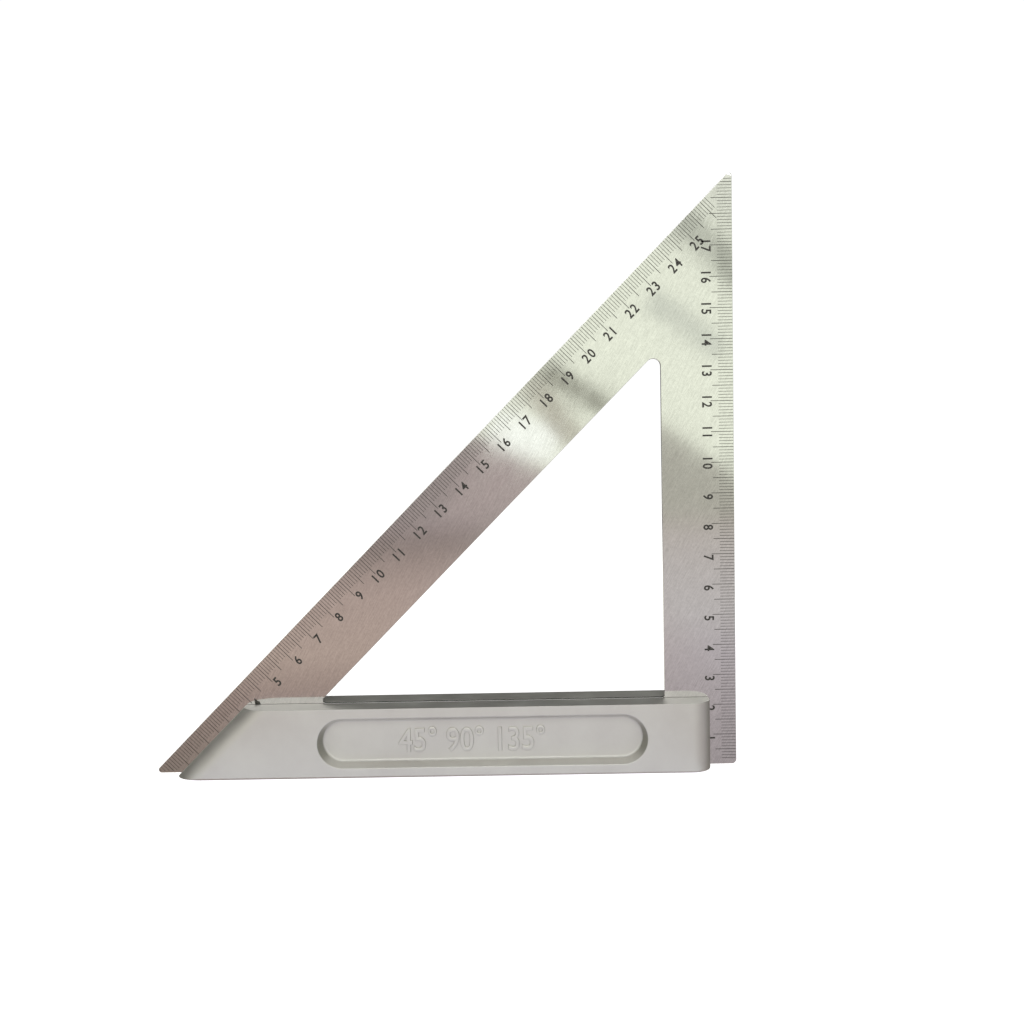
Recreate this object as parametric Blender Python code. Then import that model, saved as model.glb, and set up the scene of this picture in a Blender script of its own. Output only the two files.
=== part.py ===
"""Speed square: a triangular steel blade clamped between two cast aluminium fence halves.

The square stands on the underside of its fence. X runs along the fence, Y through the
thickness of the tool, and Z up the upright leg. The origin is at the bottom centre of the
whole tool. The right angle is at the lower right, and four countersunk screws go in from
the rear half, through the blade, into blind holes in the front half.
"""
import math

import bmesh
import bpy
from mathutils import Matrix, Vector

# ---------------------------------------------------------------- driving dimensions (metres)
LEG = 0.1942                # both short sides of the blade, from corner to corner
BLADE_THICKNESS = 0.0015
LEG_WIDTH = 0.0235          # steel left between the window and the two free edges
TIP_RADIUS = 0.0010         # the two sharp tips are blunted
HEEL_RADIUS = 0.0015        # the right-angled corner
WINDOW_TIP_RADIUS = 0.0024  # top corner of the window
WINDOW_FOOT_RADIUS = 0.0010

FENCE_HEIGHT = 0.0226
FENCE_THICKNESS = 0.0196    # over both halves and the blade
HEEL_OVERHANG = 0.0092      # blade showing past the square end of the fence
HYPOTENUSE_SETBACK = 0.0065  # blade showing past the slanted end, square to the long edge
END_RADIUS = 0.0065         # the upright corners at both ends of a fence half
TOP_EDGE_RADIUS = 0.0012    # the long outer edges of a fence half
FOOT_EDGE_RADIUS = 0.0006

POCKET_LENGTH = 0.1073
POCKET_HEIGHT = 0.0162
POCKET_DEPTH = 0.0039
POCKET_DRAFT = 0.0013       # how far the floor lies inside the mouth, all round
POCKET_FILLET = 0.0006
POCKET_TO_HEEL = 0.08385    # from the middle of the pocket to the heel of the blade

SCREW_DIAMETER = 0.0040
SCREW_HEAD_DIAMETER = 0.0075
SCREW_HEAD_HEIGHT = 0.0022
END_ENGAGEMENT = 0.0052     # length of an end screw in the front half
FLOOR_ENGAGEMENT = 0.0030   # shorter behind the floor of the pocket
SCREW_TIP_CHAMFER = 0.0006
SCREW_SINK = 0.0003         # head below the surface that it is sunk in
RECESS_WIDTH = 0.0009       # one arm of the cross recess
RECESS_SPAN = 0.0042
RECESS_DEPTH = 0.0014
END_SCREW_TO_HEEL = 0.0205  # screw beside the square end
TIP_SCREW_TO_HEEL = 0.1530  # screw beside the slanted end
FLOOR_SCREW_SPACING = 0.0620  # between the two screws in the floor of the pocket

GAP = 0.0003                # kept between pieces that touch
OVERCUT = 0.0010            # how far a cutter stands out of what it cuts

# ---------------------------------------------------------------- places that follow from them
SQRT2 = math.sqrt(2.0)
TIP_LOSS = TIP_RADIUS * SQRT2
HEEL_X = (LEG - TIP_LOSS) / 2.0             # the upright edge of the blade
TOE_X = HEEL_X - LEG                        # where the long edge meets the ground line
BLADE_FACE = BLADE_THICKNESS / 2.0
JAW_FACE = BLADE_FACE + GAP                 # inner face of each fence half
OUTER_FACE = FENCE_THICKNESS / 2.0
POCKET_FLOOR = OUTER_FACE - POCKET_DEPTH
POCKET_X = HEEL_X - POCKET_TO_HEEL
MID_HEIGHT = FENCE_HEIGHT / 2.0
SCREWS = (                                  # x, surface that the head is sunk in, engagement
    (HEEL_X - END_SCREW_TO_HEEL, OUTER_FACE, END_ENGAGEMENT),
    (POCKET_X + FLOOR_SCREW_SPACING / 2.0, POCKET_FLOOR, FLOOR_ENGAGEMENT),
    (POCKET_X - FLOOR_SCREW_SPACING / 2.0, POCKET_FLOOR, FLOOR_ENGAGEMENT),
    (HEEL_X - TIP_SCREW_TO_HEEL, OUTER_FACE, END_ENGAGEMENT),
)

ARC_STEP = math.radians(9.0)
ROUND_SIDES = 32


# ---------------------------------------------------------------- scene and materials
def clear_scene():
    for item in list(bpy.data.objects):
        bpy.data.objects.remove(item, do_unlink=True)


def new_collection(name):
    collection = bpy.data.collections.new(name)
    bpy.context.scene.collection.children.link(collection)
    return collection


def metal(name, colour, roughness):
    material = bpy.data.materials.new(name)
    material.use_nodes = True
    shader = material.node_tree.nodes["Principled BSDF"]
    shader.inputs["Base Color"].default_value = (*colour, 1.0)
    shader.inputs["Roughness"].default_value = roughness
    shader.inputs["Metallic"].default_value = 1.0
    material.diffuse_color = (*colour, 1.0)
    return material


# ---------------------------------------------------------------- outlines
def fillet(corner, before, after, radius):
    """Points along the arc that rounds one corner of an outline."""
    back = (before - corner).normalized()
    ahead = (after - corner).normalized()
    half_angle = back.angle(ahead) / 2.0
    centre = corner + (back + ahead).normalized() * (radius / math.sin(half_angle))
    start = corner + back * (radius / math.tan(half_angle)) - centre
    turn = math.pi - 2.0 * half_angle
    side = -1.0 if back.cross(ahead) > 0.0 else 1.0
    steps = max(2, math.ceil(turn / ARC_STEP))
    return [centre + Matrix.Rotation(side * turn * i / steps, 2) @ start for i in range(steps + 1)]


def rounded_outline(corners):
    """Turn (x, z, radius) corners into the points of a closed outline."""
    points = []
    for i, (x, z, radius) in enumerate(corners):
        corner = Vector((x, z))
        before = Vector(corners[i - 1][:2])
        after = Vector(corners[(i + 1) % len(corners)][:2])
        points += fillet(corner, before, after, radius) if radius > 0.0 else [corner]
    return points


def stadium(length, height):
    """A slot with round ends, as an outline about the middle of the pocket."""
    radius = height / 2.0
    steps = round(math.pi / ARC_STEP)
    points = []
    for side, centre_x in ((1.0, POCKET_X + length / 2.0 - radius), (-1.0, POCKET_X - length / 2.0 + radius)):
        centre = Vector((centre_x, MID_HEIGHT))
        for i in range(steps + 1):
            angle = math.pi * (i / steps - 0.5)
            points.append(centre + side * radius * Vector((math.cos(angle), math.sin(angle))))
    return points


# ---------------------------------------------------------------- solids
def plate(name, outline, y_front, y_back, collection):
    """An upright flat piece: a filled 2D curve with thickness, turned into a mesh."""
    curve = bpy.data.curves.new(name + "_outline", "CURVE")
    curve.dimensions = "2D"
    curve.fill_mode = "BOTH"
    curve.extrude = (y_back - y_front) / 2.0
    spline = curve.splines.new("POLY")
    spline.points.add(len(outline) - 1)
    for point, (x, z) in zip(spline.points, outline):
        point.co = (x, z, 0.0, 1.0)
    spline.use_cyclic_u = True
    guide = bpy.data.objects.new(name + "_outline", curve)
    collection.objects.link(guide)
    guide.rotation_euler = (math.pi / 2.0, 0.0, 0.0)
    guide.location = (0.0, (y_front + y_back) / 2.0, 0.0)
    bpy.context.view_layer.update()
    evaluated = guide.evaluated_get(bpy.context.evaluated_depsgraph_get())
    mesh = bpy.data.meshes.new_from_object(evaluated)
    placed = guide.matrix_world.copy()
    bpy.data.objects.remove(guide, do_unlink=True)
    solid = bpy.data.objects.new(name, mesh)
    solid.matrix_world = placed
    collection.objects.link(solid)
    edit = bmesh.new()
    edit.from_mesh(mesh)
    bmesh.ops.remove_doubles(edit, verts=edit.verts, dist=1e-6)
    edit.to_mesh(mesh)
    edit.free()
    return solid


def round_bar(name, x, profile, collection):
    """A piece turned about a Y axis through the middle height of the fence.

    The profile runs from the tip of the piece to its head, as (y, radius).
    """
    edit = bmesh.new()
    turned = [edit.verts.new((0.0, y, radius)) for y, radius in profile]
    outline = [edit.edges.new(pair) for pair in zip(turned, turned[1:])]
    bmesh.ops.spin(edit, geom=turned + outline, cent=(0.0, 0.0, 0.0), axis=(0.0, 1.0, 0.0),
                   dvec=(0.0, 0.0, 0.0), angle=math.tau, steps=ROUND_SIDES, use_merge=True)
    bmesh.ops.remove_doubles(edit, verts=edit.verts, dist=1e-6)
    bmesh.ops.recalc_face_normals(edit, faces=edit.faces)
    mesh = bpy.data.meshes.new(name)
    edit.to_mesh(mesh)
    edit.free()
    mesh.shade_smooth()
    mesh.set_sharp_from_angle(angle=math.radians(35.0))
    solid = bpy.data.objects.new(name, mesh)
    solid.location = (x, 0.0, MID_HEIGHT)
    collection.objects.link(solid)
    return solid


def cut(solid, cutter):
    """Take a cutter out of a solid with a live Boolean."""
    cutter.hide_render = True
    cutter.display_type = "WIRE"
    boolean = solid.modifiers.new("cut_" + cutter.name, "BOOLEAN")
    boolean.operation = "DIFFERENCE"
    boolean.solver = "EXACT"
    boolean.object = cutter


# ---------------------------------------------------------------- the blade
def window_corners():
    """The triangle cut out of the blade; its two sides run parallel to the free edges."""
    right = HEEL_X - LEG_WIDTH
    foot = FENCE_HEIGHT                         # level with the two ledges
    long_edge_x = TOE_X + LEG_WIDTH * SQRT2     # the inner long edge at ground level
    return [(long_edge_x + foot, foot, WINDOW_FOOT_RADIUS),
            (right, foot, WINDOW_FOOT_RADIUS),
            (right, right - long_edge_x, WINDOW_TIP_RADIUS)]


def build_blade(parts, cutters, material):
    corners = [(TOE_X, 0.0, TIP_RADIUS), (HEEL_X, 0.0, HEEL_RADIUS), (HEEL_X, LEG, TIP_RADIUS)]
    blade = plate("blade", rounded_outline(corners), -BLADE_FACE, BLADE_FACE, parts)
    blade.data.materials.append(material)
    reach = BLADE_FACE + OVERCUT
    cut(blade, plate("window_cutter", rounded_outline(window_corners()), -reach, reach, cutters))
    hole = SCREW_DIAMETER / 2.0 + GAP
    through = [(-reach, 0.0), (-reach, hole), (reach, hole), (reach, 0.0)]
    for number, (x, _, _) in enumerate(SCREWS, start=1):
        cut(blade, round_bar(f"blade_hole_{number}", x, through, cutters))


# ---------------------------------------------------------------- the fence halves
def round_fence_edges(solid):
    """Round the upright end corners first, then the long top and foot edges.

    Only the outer side is rounded: the jaw face stays sharp where it meets the blade.
    The solid's own axes are x along the fence, y up and z towards the viewer.
    """
    edit = bmesh.new()
    edit.from_mesh(solid.data)
    bmesh.ops.dissolve_limit(edit, angle_limit=math.radians(1.0), verts=edit.verts, edges=edit.edges)
    outer_z = max(vert.co.z for vert in edit.verts)
    jaw_z = min(vert.co.z for vert in edit.verts)
    slack = 1e-5

    def bevel(edges, radius, segments):
        bmesh.ops.bevel(edit, geom=edges, offset=radius, offset_type="OFFSET", affect="EDGES",
                        segments=segments, profile=0.5, material=-1)

    def is_level(edge):
        return abs(edge.verts[0].co.y - edge.verts[1].co.y) < slack

    def is_outer(edge):
        return all(vert.co.z > outer_z - slack for vert in edge.verts)

    def is_clear_of_jaw(edge):
        return all(vert.co.z > jaw_z + slack for vert in edge.verts)

    bevel([edge for edge in edit.edges if is_outer(edge) and not is_level(edge)], END_RADIUS, 8)
    for height, radius, segments in ((FENCE_HEIGHT, TOP_EDGE_RADIUS, 3), (0.0, FOOT_EDGE_RADIUS, 2)):
        bevel([edge for edge in edit.edges if is_level(edge) and is_clear_of_jaw(edge)
               and abs(edge.verts[0].co.y - height) < slack], radius, segments)
    edit.to_mesh(solid.data)
    edit.free()


def pocket_cutter(name, cutters):
    """The shallow recess in the outer face: drafted walls down to a floor with a fillet."""
    edit = bmesh.new()
    rim = [edit.verts.new((x, z, OVERCUT)) for x, z in stadium(POCKET_LENGTH, POCKET_HEIGHT)]
    lid = edit.faces.new(rim)
    grown = bmesh.ops.extrude_face_region(edit, geom=[lid])
    floor = next(item for item in grown["geom"] if isinstance(item, bmesh.types.BMFace))
    bmesh.ops.translate(edit, verts=floor.verts, vec=(0.0, 0.0, -OVERCUT))
    bmesh.ops.recalc_face_normals(edit, faces=edit.faces)
    bmesh.ops.inset_region(edit, faces=[floor], thickness=POCKET_DRAFT, use_even_offset=True)
    bmesh.ops.translate(edit, verts=floor.verts, vec=(0.0, 0.0, -POCKET_DEPTH))
    bmesh.ops.bevel(edit, geom=list(floor.edges), offset=POCKET_FILLET, offset_type="OFFSET",
                    affect="EDGES", segments=2, profile=0.5, material=-1)
    bmesh.ops.recalc_face_normals(edit, faces=edit.faces)
    mesh = bpy.data.meshes.new(name)
    edit.to_mesh(mesh)
    edit.free()
    cutter = bpy.data.objects.new(name, mesh)
    cutter.rotation_euler = (math.pi / 2.0, 0.0, 0.0)
    cutter.location = (0.0, -OUTER_FACE, 0.0)
    cutters.objects.link(cutter)
    return cutter


def fence_outline():
    slant_x = TOE_X + HYPOTENUSE_SETBACK * SQRT2
    square_x = HEEL_X - HEEL_OVERHANG
    return [Vector((slant_x, 0.0)), Vector((square_x, 0.0)), Vector((square_x, FENCE_HEIGHT)),
            Vector((slant_x + FENCE_HEIGHT, FENCE_HEIGHT))]


def build_fence_half(name, side, parts, cutters, material):
    """One cast half; side is -1 for the front half, nearer -Y, and +1 for the rear half."""
    half = plate(name, fence_outline(), -OUTER_FACE, -JAW_FACE, parts)
    round_fence_edges(half)
    pocket = pocket_cutter(name + "_pocket", cutters)
    if side > 0:
        for piece in (half, pocket):
            bpy.context.view_layer.update()
            piece.data.transform(piece.matrix_world)
            piece.matrix_world = Matrix.Identity(4)
            piece.data.transform(Matrix.Scale(-1.0, 4, (0.0, 1.0, 0.0)))
            piece.data.flip_normals()
    cut(half, pocket)
    half.data.materials.append(material)
    return half


def drill_front_half(half, cutters):
    """Blind holes from the jaw face that take the ends of the screws."""
    radius = SCREW_DIAMETER / 2.0 + GAP
    for number, (x, _, engagement) in enumerate(SCREWS, start=1):
        bottom = -JAW_FACE - engagement - GAP
        profile = [(bottom, 0.0), (bottom, radius), (0.0, radius), (0.0, 0.0)]
        cut(half, round_bar(f"front_hole_{number}", x, profile, cutters))


def screw_profile(seat, engagement):
    """A countersunk screw, from its tip to the top of its head."""
    tip = -JAW_FACE - engagement
    shank = SCREW_DIAMETER / 2.0
    head_top = seat - SCREW_SINK
    return [(tip, 0.0), (tip, shank - SCREW_TIP_CHAMFER), (tip + SCREW_TIP_CHAMFER, shank),
            (head_top - SCREW_HEAD_HEIGHT, shank), (head_top, SCREW_HEAD_DIAMETER / 2.0), (head_top, 0.0)]


def countersink_profile(seat):
    """The through hole around a screw, a gap wider than it, and open past the seat."""
    shank = SCREW_DIAMETER / 2.0 + GAP
    head = SCREW_HEAD_DIAMETER / 2.0 + GAP
    head_top = seat - SCREW_SINK
    return [(0.0, 0.0), (0.0, shank), (head_top - SCREW_HEAD_HEIGHT, shank), (head_top, head),
            (seat + OVERCUT, head), (seat + OVERCUT, 0.0)]


def drill_rear_half(half, cutters):
    """Through holes, countersunk for the screw heads."""
    for number, (x, seat, _) in enumerate(SCREWS, start=1):
        cut(half, round_bar(f"rear_hole_{number}", x, countersink_profile(seat), cutters))


# ---------------------------------------------------------------- the screws
def recess_cutter(name, x, seat, cutters):
    """The cross recess: two tapered bars, joined into one body."""
    top = seat + OVERCUT
    deep = seat - SCREW_SINK - RECESS_DEPTH
    arms = []
    for arm, angle in (("_a", 0.0), ("_b", math.pi / 2.0)):
        edit = bmesh.new()
        bmesh.ops.create_cube(edit, size=1.0)
        bmesh.ops.scale(edit, vec=(RECESS_SPAN, top - deep, RECESS_WIDTH), verts=edit.verts)
        floor = [vert for vert in edit.verts if vert.co.y < 0.0]
        bmesh.ops.scale(edit, vec=(0.45, 1.0, 0.8), verts=floor)
        mesh = bpy.data.meshes.new(name + arm)
        edit.to_mesh(mesh)
        edit.free()
        bar = bpy.data.objects.new(name + arm, mesh)
        bar.rotation_euler = (0.0, angle, 0.0)
        bar.location = (x, (top + deep) / 2.0, MID_HEIGHT)
        bar.hide_render = True
        bar.display_type = "WIRE"
        cutters.objects.link(bar)
        arms.append(bar)
    joined = arms[0].modifiers.new("join_arms", "BOOLEAN")
    joined.operation = "UNION"
    joined.solver = "EXACT"
    joined.object = arms[1]
    return arms[0]


def build_screw(name, place, parts, cutters, material):
    x, seat, engagement = place
    screw = round_bar(name, x, screw_profile(seat, engagement), parts)
    screw.data.materials.append(material)
    cut(screw, recess_cutter(name + "_recess", x, seat, cutters))


# ---------------------------------------------------------------- assembly
def main():
    clear_scene()
    parts = new_collection("speed_square")
    cutters = new_collection("cutters")
    steel = metal("ground_stainless_steel", (0.62, 0.61, 0.58), 0.25)
    cast = metal("cast_aluminium", (0.56, 0.56, 0.52), 0.55)
    plated = metal("zinc_plated_steel", (0.50, 0.50, 0.50), 0.35)
    build_blade(parts, cutters, steel)
    drill_front_half(build_fence_half("front_fence", -1, parts, cutters, cast), cutters)
    drill_rear_half(build_fence_half("rear_fence", 1, parts, cutters, cast), cutters)
    for number, place in enumerate(SCREWS, start=1):
        build_screw(f"screw_{number}", place, parts, cutters, plated)


main()
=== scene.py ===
# %% [markdown]
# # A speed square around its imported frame
#
# The tool is a thin triangle of ground stainless steel held between two cast aluminium bars,
# the fence, with four countersunk screws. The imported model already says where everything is.
# This lesson gives each piece the fine shape and the finish that the plain solids lack: broken
# edges, a pocket with soft corners, ruled scales, and metal that looks ground, cast or plated.
#
# All lengths are in metres. X runs along the fence, Y through the thickness and Z up.

import math

import bmesh
import bpy
from mathutils import Matrix, Vector


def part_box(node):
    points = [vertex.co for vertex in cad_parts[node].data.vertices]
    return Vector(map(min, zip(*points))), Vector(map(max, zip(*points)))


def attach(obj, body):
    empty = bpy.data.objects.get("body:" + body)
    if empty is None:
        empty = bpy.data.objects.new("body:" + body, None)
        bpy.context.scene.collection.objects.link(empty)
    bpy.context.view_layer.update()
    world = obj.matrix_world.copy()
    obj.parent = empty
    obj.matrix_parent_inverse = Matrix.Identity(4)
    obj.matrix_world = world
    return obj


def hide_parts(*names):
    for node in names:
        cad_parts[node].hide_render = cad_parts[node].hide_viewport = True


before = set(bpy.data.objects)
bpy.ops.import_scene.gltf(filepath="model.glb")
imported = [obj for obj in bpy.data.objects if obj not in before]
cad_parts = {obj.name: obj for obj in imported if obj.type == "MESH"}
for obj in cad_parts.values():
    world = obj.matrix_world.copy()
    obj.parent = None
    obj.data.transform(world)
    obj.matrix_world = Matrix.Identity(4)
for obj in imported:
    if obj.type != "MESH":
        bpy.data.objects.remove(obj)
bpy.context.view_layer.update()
print("frame:", sorted(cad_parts))

# %% [markdown]
# The driving sizes come from the frame's own boxes wherever a box can give them. Only the
# things that a box can't say, such as the radius of a corner, are named here.

# %% Sizes
MM = 0.001
SQRT2 = math.sqrt(2.0)

blade_low, blade_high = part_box("blade")
front_low, front_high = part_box("front_fence")

TIP_RADIUS = 1.0 * MM
HEEL_RADIUS = 1.5 * MM
LEG_WIDTH = 23.5 * MM
WINDOW_TIP_RADIUS = 2.4 * MM
WINDOW_FOOT_RADIUS = 1.0 * MM

BLADE_FACE = blade_high.y
HEEL_X = blade_high.x
LEG = blade_high.x - blade_low.x + TIP_RADIUS * SQRT2
TOE_X = HEEL_X - LEG
JAW_FACE = -front_high.y
OUTER_FACE = -front_low.y
FENCE_HEIGHT = front_high.z
MID_HEIGHT = FENCE_HEIGHT / 2.0
print(f"blade: {LEG / MM:.1f} mm on each short side, {2 * BLADE_FACE / MM:.1f} mm thick")
print(f"fence: {FENCE_HEIGHT / MM:.1f} mm high, {2 * OUTER_FACE / MM:.1f} mm over both halves")

# %% [markdown]
# The screws tell where the holes are. Two go through the thick ends of the fence, beside the
# pocket, and two through the pocket's floor, so their heads are not all at the same depth.

# %% Where the screws are
SCREW_NAMES = [name for name in sorted(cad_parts) if name.startswith("screw_")]


def screw_place(name):
    """Middle of a screw along the fence, and the two ends of it through the thickness."""
    low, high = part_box(name)
    return (low.x + high.x) / 2.0, low.y, high.y


SCREW_SINK = 0.3 * MM
SCREW_GAP = 0.3 * MM
SHANK_RADIUS = 2.0 * MM
HEAD_RADIUS = 3.75 * MM
HEAD_HEIGHT = 2.2 * MM
RING_SIDES = 40
POCKET_FLOOR = min(screw_place(name)[2] for name in SCREW_NAMES) + SCREW_SINK
for name in SCREW_NAMES:
    print(name, [round(value / MM, 2) for value in screw_place(name)])

# %% [markdown]
# The camera stands in front of the tool, a little above its middle and to the right, and
# looks very slightly down.

# %% Camera
CAMERA_PLACE = (28.7 * MM, -336.2 * MM, 104.7 * MM)
CAMERA_TURN = (86.65, 1.19, 0.794)

camera_data = bpy.data.cameras.new("camera")
camera_data.lens = 36.0
camera_data.sensor_width = 36.0
camera_data.clip_start = 0.01
camera = bpy.data.objects.new("camera", camera_data)
camera.location = CAMERA_PLACE
camera.rotation_euler = [math.radians(angle) for angle in CAMERA_TURN]
bpy.context.scene.collection.objects.link(camera)
bpy.context.scene.camera = camera

# %% [markdown]
# ## Two helpers for every material
#
# Colours are written the way a paint chart gives them, as sRGB hex, and shaders want them
# linear, so one function converts them. Another adds a node to a material, sets its values
# and wires its inputs, because each finish here is a short chain of the same few steps. A Mix
# node has sockets of the same name for numbers and for colours, so its colour sockets are
# reached by their places.

# %% Colour and node helpers
MIX_COLOUR_A, MIX_COLOUR_B, MIX_COLOUR_RESULT = 6, 7, 2


def srgb(code):
    """Turn a hex colour such as "c8c9bd" into the linear colour that a shader expects."""
    shares = [int(code[place:place + 2], 16) / 255.0 for place in (0, 2, 4)]
    linear = [s / 12.92 if s <= 0.04045 else ((s + 0.055) / 1.055) ** 2.4 for s in shares]
    return (*linear, 1.0)


def add_node(tree, kind, settings=None, links=None):
    """Add a node; settings are its properties or input values, links its input sources."""
    node = tree.nodes.new(kind)
    for name, value in (settings or {}).items():
        if isinstance(name, str) and hasattr(node, name):
            setattr(node, name, value)
        else:
            node.inputs[name].default_value = value
    for name, source in (links or {}).items():
        tree.links.new(source, node.inputs[name])
    return node


def set_stops(node, *stops):
    """Give a colour ramp its (position, hex colour) stops; returns its colour output."""
    elements = node.color_ramp.elements
    while len(elements) < len(stops):
        elements.new(0.5)
    for element, (position, colour) in zip(elements, stops):
        element.position = position
        element.color = srgb(colour)
    return node.outputs["Color"]


def new_material(name):
    """A material with nodes; returns it, its tree and its Principled shader."""
    material = bpy.data.materials.new(name)
    material.use_nodes = True
    return material, material.node_tree, material.node_tree.nodes["Principled BSDF"]


# %% [markdown]
# ## Ground stainless steel
#
# The blade is stainless spring steel, punched from strip and then ground flat on a belt. The
# belt leaves fine scores that lean to the right and run across both legs, so the metal mirrors
# its surroundings sharply along the scores and smears them across. Noise that is stretched
# along one direction makes such scores. A fine even speckle is mixed in, since the scores of
# one pass of the belt are broken up by those of the next.

# %% The steel of the blade
SCORE_LEAN = math.radians(62.0)      # the scores' direction, up from the fence
SCORE_LENGTH = 5.0 * MM
SCORE_WIDTH = 0.32 * MM              # drawn several times too wide, or they wouldn't show
SPECKLE_SIZE = 0.9 * MM
SPECKLE_SHARE = 0.4                  # how much of the grain is speckle, the rest being scores
PATCH_LENGTH = 22.0 * MM             # patches that the belt left a little duller than others
PATCH_WIDTH = 9.0 * MM
SCORE_DEPTH = 0.01 * MM


def make_ground_steel():
    material, tree, shader = new_material("ground_stainless_steel")
    place = add_node(tree, "ShaderNodeTexCoord").outputs["Object"]
    scores_at = add_node(tree, "ShaderNodeMapping",
                         {"vector_type": "TEXTURE", "Rotation": (0.0, -SCORE_LEAN, 0.0),
                          "Scale": (SCORE_LENGTH, 1.0, SCORE_WIDTH)}, {"Vector": place})
    scores = add_node(tree, "ShaderNodeTexNoise", {"Scale": 1.0, "Detail": 3.0, "Roughness": 0.6},
                      {"Vector": scores_at.outputs["Vector"]})
    patches_at = add_node(tree, "ShaderNodeMapping",
                          {"vector_type": "TEXTURE", "Rotation": (0.0, -SCORE_LEAN, 0.0),
                           "Scale": (PATCH_LENGTH, PATCH_LENGTH, PATCH_WIDTH)}, {"Vector": place})
    patches = add_node(tree, "ShaderNodeTexNoise", {"Scale": 1.0, "Detail": 4.0},
                       {"Vector": patches_at.outputs["Vector"]})
    speckle = add_node(tree, "ShaderNodeTexNoise",
                       {"Scale": 1.0 / SPECKLE_SIZE, "Detail": 3.0, "Roughness": 0.7},
                       {"Vector": place})
    grain = add_node(tree, "ShaderNodeMix", {"Factor": SPECKLE_SHARE},
                     {"A": scores.outputs["Fac"], "B": speckle.outputs["Fac"]})
    tint = set_stops(add_node(tree, "ShaderNodeValToRGB", {}, {"Fac": grain.outputs["Result"]}),
                     (0.36, "c3c2c0"), (0.64, "dbdad8"))
    gloss = add_node(tree, "ShaderNodeMapRange",
                     {"From Min": 0.3, "From Max": 0.7, "To Min": 0.06, "To Max": 0.10},
                     {"Value": patches.outputs["Fac"]})
    relief = add_node(tree, "ShaderNodeBump", {"Strength": 0.2, "Distance": SCORE_DEPTH},
                      {"Height": scores.outputs["Fac"]})
    shader.inputs["Metallic"].default_value = 1.0
    tree.links.new(tint, shader.inputs["Base Color"])
    tree.links.new(gloss.outputs["Result"], shader.inputs["Roughness"])
    tree.links.new(relief.outputs["Normal"], shader.inputs["Normal"])
    return material


steel = make_ground_steel()
print("made", steel.name)

# %% [markdown]
# ## Die-cast aluminium
#
# Both fence halves are pressure die castings, matte and pale, slightly mottled where the melt
# cooled at different speeds, with a fine orange-peel relief and a few pinholes. What faces along
# the fence, its ends and the ends of its pocket, is coloured darker: this is painted shade, for
# the light that falls off on those faces.

# %% The casting of the fence
PEEL_SIZE = 0.9 * MM
MOTTLE_SIZE = 14.0 * MM
PINHOLE_SPACING = 4.5 * MM
PEEL_DEPTH = 0.06 * MM
# Painted shade: the darker colour given to faces that look along the fence.
PAINTED_END_SHADE = "acaba2"


def make_cast_aluminium():
    material, tree, shader = new_material("cast_aluminium_with_painted_end_shade")
    place = add_node(tree, "ShaderNodeTexCoord").outputs["Object"]
    peel = add_node(tree, "ShaderNodeTexNoise", {"Scale": 1.0 / PEEL_SIZE, "Detail": 4.0},
                    {"Vector": place})
    mottle = add_node(tree, "ShaderNodeTexNoise",
                      {"Scale": 1.0 / MOTTLE_SIZE, "Detail": 5.0, "Roughness": 0.6},
                      {"Vector": place})
    tint = set_stops(add_node(tree, "ShaderNodeValToRGB", {}, {"Fac": mottle.outputs["Fac"]}),
                     (0.30, "d2d0cb"), (0.70, "dddcd7"))
    gloss = add_node(tree, "ShaderNodeMapRange",
                     {"From Min": 0.3, "From Max": 0.7, "To Min": 0.56, "To Max": 0.68},
                     {"Value": mottle.outputs["Fac"]})
    pinholes = add_node(tree, "ShaderNodeTexVoronoi", {"Scale": 1.0 / PINHOLE_SPACING},
                        {"Vector": place})
    pits = add_node(tree, "ShaderNodeMapRange",
                    {"From Min": 0.02, "From Max": 0.07, "To Min": -1.0, "To Max": 0.0},
                    {"Value": pinholes.outputs["Distance"]})
    height = add_node(tree, "ShaderNodeMath", {"operation": "ADD"},
                      {0: peel.outputs["Fac"], 1: pits.outputs["Result"]})
    relief = add_node(tree, "ShaderNodeBump", {"Strength": 0.35, "Distance": PEEL_DEPTH},
                      {"Height": height.outputs["Value"]})
    # Painted shade: faces that look along X, the fence's ends and the pocket's ends, are blended
    # toward a darker colour.
    facing = add_node(tree, "ShaderNodeSeparateXYZ", {},
                      {"Vector": add_node(tree, "ShaderNodeTexCoord").outputs["Normal"]})
    endwise = add_node(tree, "ShaderNodeMath", {"operation": "ABSOLUTE"}, {0: facing.outputs["X"]})
    painted_shade_share = add_node(tree, "ShaderNodeMapRange",
                    {"interpolation_type": "SMOOTHSTEP", "From Min": 0.5, "From Max": 1.0,
                     "To Min": 0.0, "To Max": 1.0}, {"Value": endwise.outputs["Value"]})
    colour = add_node(tree, "ShaderNodeMix", {"data_type": "RGBA"},
                      {"Factor": painted_shade_share.outputs["Result"]})
    colour.inputs[MIX_COLOUR_B].default_value = srgb(PAINTED_END_SHADE)
    tree.links.new(tint, colour.inputs[MIX_COLOUR_A])
    shader.inputs["Metallic"].default_value = 1.0
    tree.links.new(colour.outputs[MIX_COLOUR_RESULT], shader.inputs["Base Color"])
    tree.links.new(gloss.outputs["Result"], shader.inputs["Roughness"])
    tree.links.new(relief.outputs["Normal"], shader.inputs["Normal"])
    return material


casting = make_cast_aluminium()
print("made", casting.name)

# %% [markdown]
# ## Zinc-plated steel and etching ink
#
# The screws are carbon steel with bright zinc plating: a slightly cool, slightly cloudy metal.
# The scales are etched and filled with black ink, which is matte and not quite even.

# %% Screw plating and ink
CLOUD_SIZE = 1.2 * MM
INK_WEAR_SIZE = 0.6 * MM


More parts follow.
